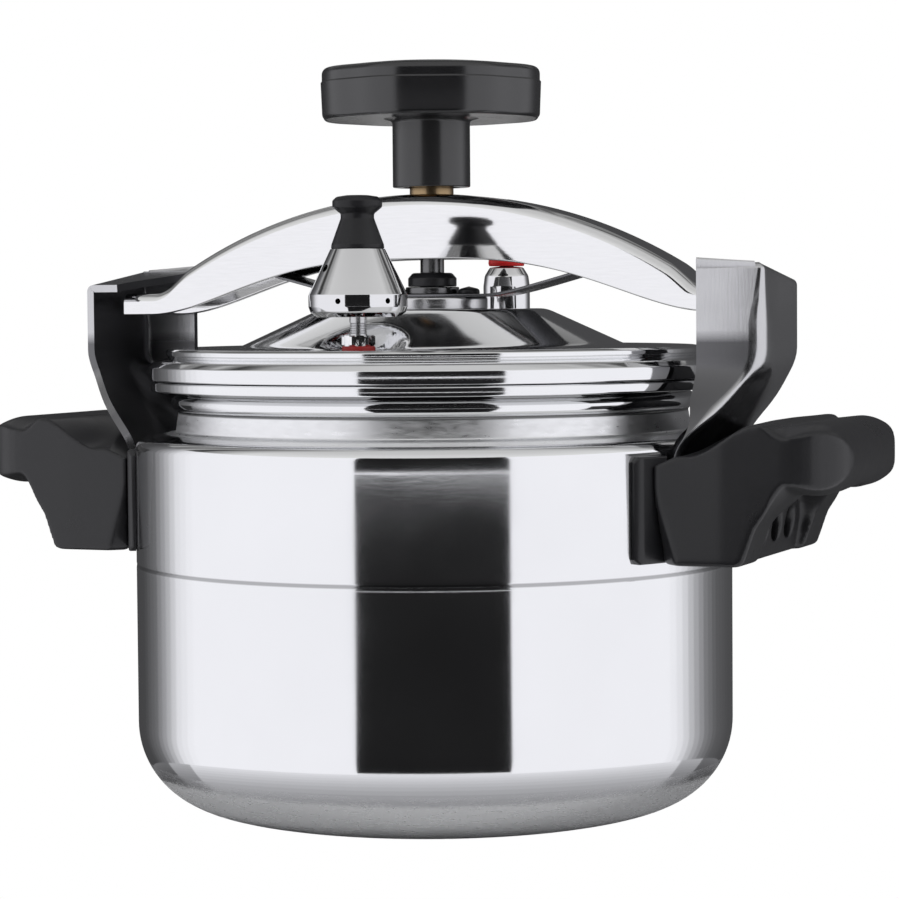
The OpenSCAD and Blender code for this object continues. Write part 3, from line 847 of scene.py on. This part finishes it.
def knob():
    low, high = node_box("knob")
    top, bottom = high.z, low.z
    head = top - 18.8
    outer = high.x

    def lobed(r, a):
        reach = smooth_step((r - LOBE_START) / (outer - LOBE_START))
        return r - LOBE_DEPTH * reach * (0.5 - 0.5 * math.cos(LOBES * a)) ** 1.3

    outline = rounded([
        (9, bottom + 0.6), (9.6, bottom, 0.3), (13.0, bottom, 0.5), (13.0, head - 0.4, 1.2),
        (16, head + 0.5, 1.2), (outer - 1.0, head, 1.6), (outer - 0.5, top - 6.7, 0.4),
        (outer - 0.9, top - 6.3, 0.2), (outer - 0.9, top - 1.9, 4.4), (24, top - 0.5, 12),
        (0, top)], steps=8)
    outline += [(0, head + 9.1), (9, head + 9.1)]
    lathe("knob_grip", outline, "screw", ["knob"], "knob_phenolic", 50,
          segments=240, closed=True, radius_of=lobed)


# ---- Brackets ----
def bracket_row(up):
    """Points across a bracket at one height above the flange, from its closed side to its open edge."""
    half = BRACKET_V + 16 * smooth_step((6 - up) / 26)
    face = STRAP_R + (BRACKET_U - 0.4 - STRAP_R) * ease((up + 27) / 37, 0.2)
    bend = 1 - smooth_step((up + 20) / 25)
    fade = smooth_step((up + 27) / 22)

    def web(v):
        return face - bend * (STRAP_R - math.sqrt(STRAP_R ** 2 - v * v))

    radius = 0.4 + (3 + 6.5 * smooth_step((33 - up) / 16)) * fade
    edge = web(-half)
    inner = edge - 0.6 - (max(0.6, edge - 98.5) - 0.6) * fade
    after = -half + radius + 0.6
    row = rounded([(inner, -half), (edge, -half, radius), (web(after), after)], steps=7)
    for k in range(1, 15):
        v = after + (half - after) * k / 14
        row.append((web(v), v))
    return row


def dent(v, up):
    """Depth of the stamped hollow in the bend of a bracket."""
    t = (4 - up) / 18
    if t <= 0:
        return 0
    aside = abs(v + 11 + 4 * t) / (4.5 + 11 * math.sqrt(t))
    return 2.6 * smooth_step((1 - aside) / 0.5) * smooth_step(t / 0.3)


def bracket(name, node, side):
    """Bracket at +X as a grid of rows: the web, the fold round the roof, and the roof's lip."""
    roof = TAB_Z + 0.5 + SHEET - FLANGE
    fold = 2.2
    heights = [-52, -45, -38, -32] + list(range(-28, 20, 2)) + [22, 25]
    rows = [[(u, v, FLANGE + up) for u, v in bracket_row(up)] for up in heights]
    top = bracket_row(36)
    count = len(top)
    outward = []
    for j in range(count):
        along = Vector(top[min(j + 1, count - 1)]) - Vector(top[max(j - 1, 0)])
        outward.append(Vector((along.y, -along.x)).normalized())
    for k in range(6):
        a = math.radians(18 * k)
        row = []
        for (u, v), out in zip(top, outward):
            z = FLANGE + roof + 5 * (BRACKET_V - v) / (2 * BRACKET_V) - fold * (1 - math.sin(a))
            inset = fold * (1 - math.cos(a))
            row.append((u - out.x * inset, v - out.y * inset, z))
        rows.append(row)
    lip = []
    for u, v, z in rows[-1]:
        lip.append((BRACKET_U - 12 - 10.5 * smooth_step((BRACKET_V - v) / 37), v, z))
    rows.append(lip)
    faces = []
    for i in range(len(rows) - 1):
        for j in range(count - 1):
            a = i * count + j
            faces.append([a, a + 1, a + 1 + count, a + count])
    mesh = mesh_of(name, [v for row in rows for v in row], faces)
    work = bmesh.new()
    work.from_mesh(mesh)
    bmesh.ops.dissolve_degenerate(work, edges=work.edges, dist=2e-5)
    work.normal_update()
    for vert in work.verts:
        p = vert.co / MM
        vert.co -= vert.normal * dent(p.y, p.z - FLANGE) * MM
    work.to_mesh(mesh)
    work.free()
    obj = linked(name, mesh)
    thick = obj.modifiers.new("thickness", "SOLIDIFY")
    thick.thickness = SHEET * MM
    thick.offset = -1
    bake(obj)
    mesh = obj.data
    bpy.data.objects.remove(obj)
    mesh.transform(Matrix.Rotation(math.radians(side), 4, "Z"))
    adopt(name, mesh, "pot", [node], "bracket_chrome", 50)


# ---- Handles ----
GRIP_R = 11.5
GRIP_Z = FLANGE - 24
HUMP_Z = FLANGE - 12
HANDLE_V = 46
ARCH_V = 27                 # half width of the arch cut in the skirt
SCREW_ANGLES = (-7.3, 0, 7.3)
SCREW_Z = FLANGE - 47
VOXEL = 0.8


def handle_solid():
    """Handle at +X: a skirt that hugs the pot, a hump in the middle and a round grip bar."""
    bottom = HANDLE_LOW
    side = rounded([
        (POT_R - 10, bottom), (POT_R + 20.5, bottom, 3), (POT_R + 25, bottom + 13, 14),
        (POT_R + 33.5, bottom + 21.8, 4)], steps=6)
    for k in range(25):
        a = math.radians(-100 + 190 * k / 24)
        side.append((HANDLE_U - GRIP_R + GRIP_R * math.cos(a), GRIP_Z + GRIP_R * math.sin(a)))
    side += [(POT_R + 30, HUMP_Z - 1.6), (POT_R + 22, HUMP_Z), (POT_R - 10, HUMP_Z)]
    body = prism("handle_work", side, -HANDLE_V, HANDLE_V, axis="y")
    plan = rounded([
        (POT_R - 10, -HANDLE_V), (POT_R + 14, -HANDLE_V, 20), (HANDLE_U, -HANDLE_V + 3, 24),
        (HANDLE_U, HANDLE_V - 3, 24), (POT_R + 14, HANDLE_V, 20), (POT_R - 10, HANDLE_V)], steps=10)
    combine(body, prism("plan", plan, bottom - 5, FLANGE, axis="z"), "INTERSECT")
    back = [(0, bottom - 2), (BACK_R, bottom - 2), (BACK_R, STRAP_TOP), (BRACKET_U + 0.6, FLANGE + 10),
            (0, FLANGE + 10)]
    combine(body, scratch("back", *lathe_mesh(back, 180)), "DIFFERENCE")
    for s in (-1, 1):
        low, high = bottom - 1, GRIP_Z - 1
        v = s * (HANDLE_V + 1)
        wedge = scratch("wedge", [
            (88, v, low), (101, v, low), (88, v - s * 12, low), (88, v, high), (92.5, v, high),
            (88, v - s * 2.5, high)], [[0, 1, 2], [3, 5, 4], [0, 3, 4, 1], [1, 4, 5, 2], [2, 5, 3, 0]])
        combine(body, wedge, "DIFFERENCE")
    arch = [(-ARCH_V, bottom - 1)]
    for k in range(25):
        a = math.pi - math.pi * k / 24
        arch.append((ARCH_V * math.cos(a), bottom + 9 + 15 * math.sin(a)))
    arch.append((ARCH_V, bottom - 1))
    near = [(POT_R + 17.8 + (z - bottom) * 0.15, v, z) for v, z in arch]
    far = [(POT_R + 60, v, z) for v, z in arch]
    combine(body, scratch("arch", near + far, tube_faces(2, len(arch))), "DIFFERENCE")
    up = Vector((0, 0, SCREW_Z))
    for angle in SCREW_ANGLES:
        out = heading(angle)
        combine(body, rod("bore", out * (BACK_R + 2.6) + up, out * 150 + up, 5, 40), "DIFFERENCE")
        combine(body, rod("shank", out * 98 + up, out * 108 + up, 2.2, 24), "DIFFERENCE")
    grid = body.modifiers.new("grid", "REMESH")
    grid.mode = "VOXEL"
    grid.voxel_size = VOXEL * MM
    relax = body.modifiers.new("relax", "SMOOTH")
    relax.factor = 0.5
    relax.iterations = 7
    bake(body)
    floor = GRIP_Z - 3
    for vert in body.data.vertices:
        u, v, z = vert.co / MM
        if z > floor:
            aside = 0.5 + 0.5 * smooth_step((abs(v) - 8) / 40)
            drop = 11 * aside * smooth_step((POT_R + 27 - u) / 24)
            z = floor + (z - floor) * (1 - drop / (HUMP_Z - floor))
        tip = smooth_step((u - POT_R - 26) / 8) * max(0.0, (abs(v) - 27) / 19) ** 2
        vert.co.z = (GRIP_Z + (z - GRIP_Z) * (1 - 0.42 * tip)) * MM
    mesh = body.data
    bpy.data.objects.remove(body)
    return mesh


def pad_mesh():
    """Curved pad between wall and handle: two ends beside the bracket's strap and a strip under it."""
    low, high = HANDLE_LOW + 0.5, STRAP_TOP
    inner, outer = POT_R + 0.1, POT_R + 2.6
    tip, strap = 30, 22.5
    verts, faces = [], []
    for start, end, bottom, top in ((-tip, -strap, low, high), (strap, tip, low, high),
                                    (-strap, strap, low, low + 4)):
        steps = max(8, int(abs(end - start)))
        begin = len(verts)
        for k in range(steps + 1):
            a = math.radians(start + (end - start) * k / steps)
            outer_end = abs(math.degrees(a)) > 29.9
            back, front = (inner, outer - 1.3) if outer_end else (inner, outer)
            rim = 1.6 if outer_end else 0
            section = rounded([(back, bottom + rim), (front, bottom + rim, 0.6), (front, top - rim, 0.6),
                               (back, top - rim)], closed=True, steps=3)
            verts += [(r * math.cos(a), r * math.sin(a), z) for r, z in section]
        around = (len(verts) - begin) // (steps + 1)
        faces += [[i + begin for i in face] for face in tube_faces(steps + 1, around)]
    return mesh_of("pad", verts, faces)


def sides():
    """Brackets, handles and pads; the left ones are the right ones turned half a turn."""
    handle_mesh, pad = handle_solid(), pad_mesh()
    for tag, side in (("right", 0), ("left", 180)):
        turn = Matrix.Rotation(math.radians(side), 4, "Z")
        bracket("hook_" + tag, "bracket_" + tag, side)
        for name, source, node in (("grip_" + tag, handle_mesh, "handle_" + tag),
                                   ("pad_" + tag, pad, "handle_pad_" + tag)):
            mesh = source.copy()
            mesh.transform(turn)
            adopt(name, mesh, "pot", [node], "phenolic", 40)


pot()
lid()
centre_stack()
leaf_spring()
vent()
regulator()
safety_valve()
valve_spring()
crossbar()
screw()
knob()
sides()

# ---- CAD nodes that stay, with their record's slot as material ----
slot_of = {s["node"]: s["material_slot"] for s in frame["record"]["subparts"]}
for name, node in frame["nodes"].items():
    if not node.hide_render:
        node.data.materials.clear()
        node.data.materials.append(material_of[slot_of[name]])
        node.data.shade_smooth()

# ---- Camera ----
CAMERA_AZIMUTH = math.radians(22)
FOCAL_LENGTH = 116.4
CAMERA_DISTANCE, CAMERA_ASIDE, CAMERA_HEIGHT = 0.978, 0.0053, 0.1678
CAMERA_DOWN, CAMERA_ROLL = math.radians(2.88), math.radians(-0.45)
toward = Vector((math.sin(CAMERA_AZIMUTH), -math.cos(CAMERA_AZIMUTH), 0))
rightward = Vector((math.cos(CAMERA_AZIMUTH), math.sin(CAMERA_AZIMUTH), 0))
lens = bpy.data.cameras.new("camera")
lens.lens = FOCAL_LENGTH
lens.sensor_width = 36
camera = linked("camera", lens)
camera.location = toward * CAMERA_DISTANCE + rightward * CAMERA_ASIDE + Vector((0, 0, CAMERA_HEIGHT))
camera.rotation_euler = (Matrix.Rotation(CAMERA_AZIMUTH, 3, "Z")
                         @ Matrix.Rotation(math.pi / 2 - CAMERA_DOWN, 3, "X")
                         @ Matrix.Rotation(CAMERA_ROLL, 3, "Z")).to_euler()
bpy.context.scene.camera = camera


# ---- Studio ----
WHITE, BLACK = 0.97, 0.012
DARK_EDGE = {-1: 14.6, 1: 14.2}     # edges of the dark reflection, in degrees round the wall
WHITE_EDGE = 50
FAR, CARD_TOP = 3.0, 1.6            # metres
RING_Z, GRADED_Z, WHITE_Z, DARK_Z = 0.0005, 0.0007, 0.0008, 0.0010


def emission(name, colour):
    """A material that only glows."""
    material = bpy.data.materials.new(name)
    material.use_nodes = True
    nodes = material.node_tree.nodes
    nodes.clear()
    light = nodes.new("ShaderNodeEmission")
    light.inputs["Color"].default_value = (*colour, 1)
    light.inputs["Strength"].default_value = 1
    out = nodes.new("ShaderNodeOutputMaterial")
    material.node_tree.links.new(light.outputs[0], out.inputs["Surface"])
    return material


def card(name, verts, faces, shade):
    """A studio card that only reflections see."""
    mesh = mesh_of(name, verts, faces, 1)
    mesh.materials.append(emission(name, (shade, shade, shade * 1.04)))
    obj = linked(name, mesh)
    for ray in ("camera", "diffuse", "shadow", "transmission", "volume_scatter"):
        setattr(obj, "visible_" + ray, False)
    return obj


def beam(theta, reach):
    """Where a view ray that meets the pot's wall theta away from the camera lands after its reflection."""
    a = CAMERA_AZIMUTH - math.pi / 2 + theta
    b = CAMERA_AZIMUTH - math.pi / 2 + 2 * theta
    wall = POT_R * MM
    return (wall * math.cos(a) + reach * math.cos(b), wall * math.sin(a) + reach * math.sin(b))


def sector(name, start, end, near, shade, level, top=0.0, far=FAR):
    """A card on the floor, and up from its far edge, that fills one stretch of the pot's reflection."""
    steps = 12
    verts = []
    for k in range(steps + 1):
        theta = math.radians(start + (end - start) * k / steps)
        verts.append((*beam(theta, near), level))
        verts.append((*beam(theta, far), level))
        verts.append((*beam(theta, far), max(level, top)))
    faces = []
    for k in range(steps):
        a, b = 3 * k, 3 * k + 3
        faces.append([a, a + 1, b + 1, b])
        if top:
            faces.append([a + 1, a + 2, b + 2, b + 1])
    card(name, verts, faces, shade)


WALL_SHADES = [(-90, 0.05), (-74, 0.065), (-67, 0.15), (-62, 0.39), (-57, 0.82), (-52, 0.97), (50, 0.97),
               (54, 0.79), (58, 0.45), (63, 0.21), (68, 0.11), (76, 0.076), (90, 0.06)]


def wall_shade(theta):
    """How bright the pot's reflection is, theta degrees round from the camera."""
    for (a, low), (b, high) in zip(WALL_SHADES, WALL_SHADES[1:]):
        if a <= theta <= b:
            return low + (high - low) * (theta - a) / (b - a)
    return WALL_SHADES[-1][1]


def studio():
    """Cards that reflections see, a floor that the camera doesn't, a world, and three soft lamps."""
    size = 8
    corners = [(-size, -size, 0), (size, -size, 0), (size, size, 0), (-size, size, 0)]
    mesh = mesh_of("floor", corners, [[0, 1, 2, 3]], 1)
    mesh.materials.append(new_material("floor_pale", (0.5, 0.5, 0.505), 0, 0.7)[0])
    floor = linked("floor", mesh)
    floor.visible_camera = False
    for side in (-1, 1):
        for k in range(10):
            for start, end, share in ((0, 56, 1.0), (56, 66, 0.55), (66, 90, 0.2)):
                sector("near_%d_%d_%d" % (k, start, side), side * start, side * end, 0.005 * k,
                       share * (0.3 + 0.06 * k), RING_Z, far=0.005 * (k + 1))
    left, right = -DARK_EDGE[-1], DARK_EDGE[1]
    sector("card_front", left, right, 0.05, BLACK, DARK_Z, far=2.05)
    sector("card_front_gap", left, right, 2.05, WHITE, DARK_Z, far=2.99)
    sector("card_front_high", left, right, 2.99, BLACK, DARK_Z, top=CARD_TOP)
    near = 0.045
    for side in (-1, 1):
        tag = "left" if side < 0 else "right"
        sector("card_white_" + tag, side * DARK_EDGE[side], side * WHITE_EDGE, near, WHITE, WHITE_Z,
               top=CARD_TOP)
        for theta in range(WHITE_EDGE, 90, 2):
            sector("card_%s_%d" % (tag, theta), side * theta, side * (theta + 2), near,
                   wall_shade(side * (theta + 1)), GRADED_Z, top=CARD_TOP)

    world = bpy.data.worlds.new("studio")
    bpy.context.scene.world = world
    world.use_nodes = True
    nodes, links = world.node_tree.nodes, world.node_tree.links
    place = nodes.new("ShaderNodeTexCoord").outputs["Generated"]
    split = nodes.new("ShaderNodeSeparateXYZ")
    links.new(place, split.inputs[0])
    dot = nodes.new("ShaderNodeVectorMath")
    dot.operation = "DOT_PRODUCT"
    dot.inputs[1].default_value = -toward
    links.new(place, dot.inputs[0])
    behind = span(nodes, links, dot.outputs["Value"], -0.1, 0.3, 0, 1)
    high = span(nodes, links, split.outputs[2], 0.09, 0.2, 0, 1)
    dark = math_node(nodes, links, "MULTIPLY", behind, high)
    around = nodes.new("ShaderNodeCombineXYZ")
    links.new(math_node(nodes, links, "ARCTAN2", split.outputs[0], split.outputs[1]), around.inputs[0])
    streaks = noise(nodes, links, around.outputs[0], 3.5, 2, 0.6)
    gloom = span(nodes, links, streaks, 0.42, 0.62, 0.05, 0.5)
    pale = span(nodes, links, split.outputs[2], 0.1, 0.9, 0.95, 0.6)
    shade = nodes.new("ShaderNodeMix")
    links.new(dark, shade.inputs["Factor"])
    links.new(pale, shade.inputs["A"])
    links.new(gloom, shade.inputs["B"])
    seen = nodes.new("ShaderNodeLightPath").outputs["Is Camera Ray"]
    final = math_node(nodes, links, "MAXIMUM", shade.outputs["Result"], seen)
    links.new(final, nodes["Background"].inputs["Color"])

    middle = Vector((0, 0, 0.13))
    for name, place, size, power in (
            ("key", toward * 1.2 - rightward * 1.3 + Vector((0, 0, 1.5)), 0.9, 16),
            ("fill", toward * 0.8 + rightward * 1.5 + Vector((0, 0, 1.1)), 0.9, 9),
            ("top", toward * -0.2 + Vector((0, 0, 1.9)), 1.2, 12)):
        light = bpy.data.lights.new(name, "AREA")
        light.size = size
        light.energy = power
        lamp = linked(name, light)
        lamp.visible_glossy = False
        lamp.location = place
        lamp.rotation_euler = (middle - place).to_track_quat("-Z", "Y").to_euler()


studio()
bpy.context.scene.view_settings.view_transform = "Standard"
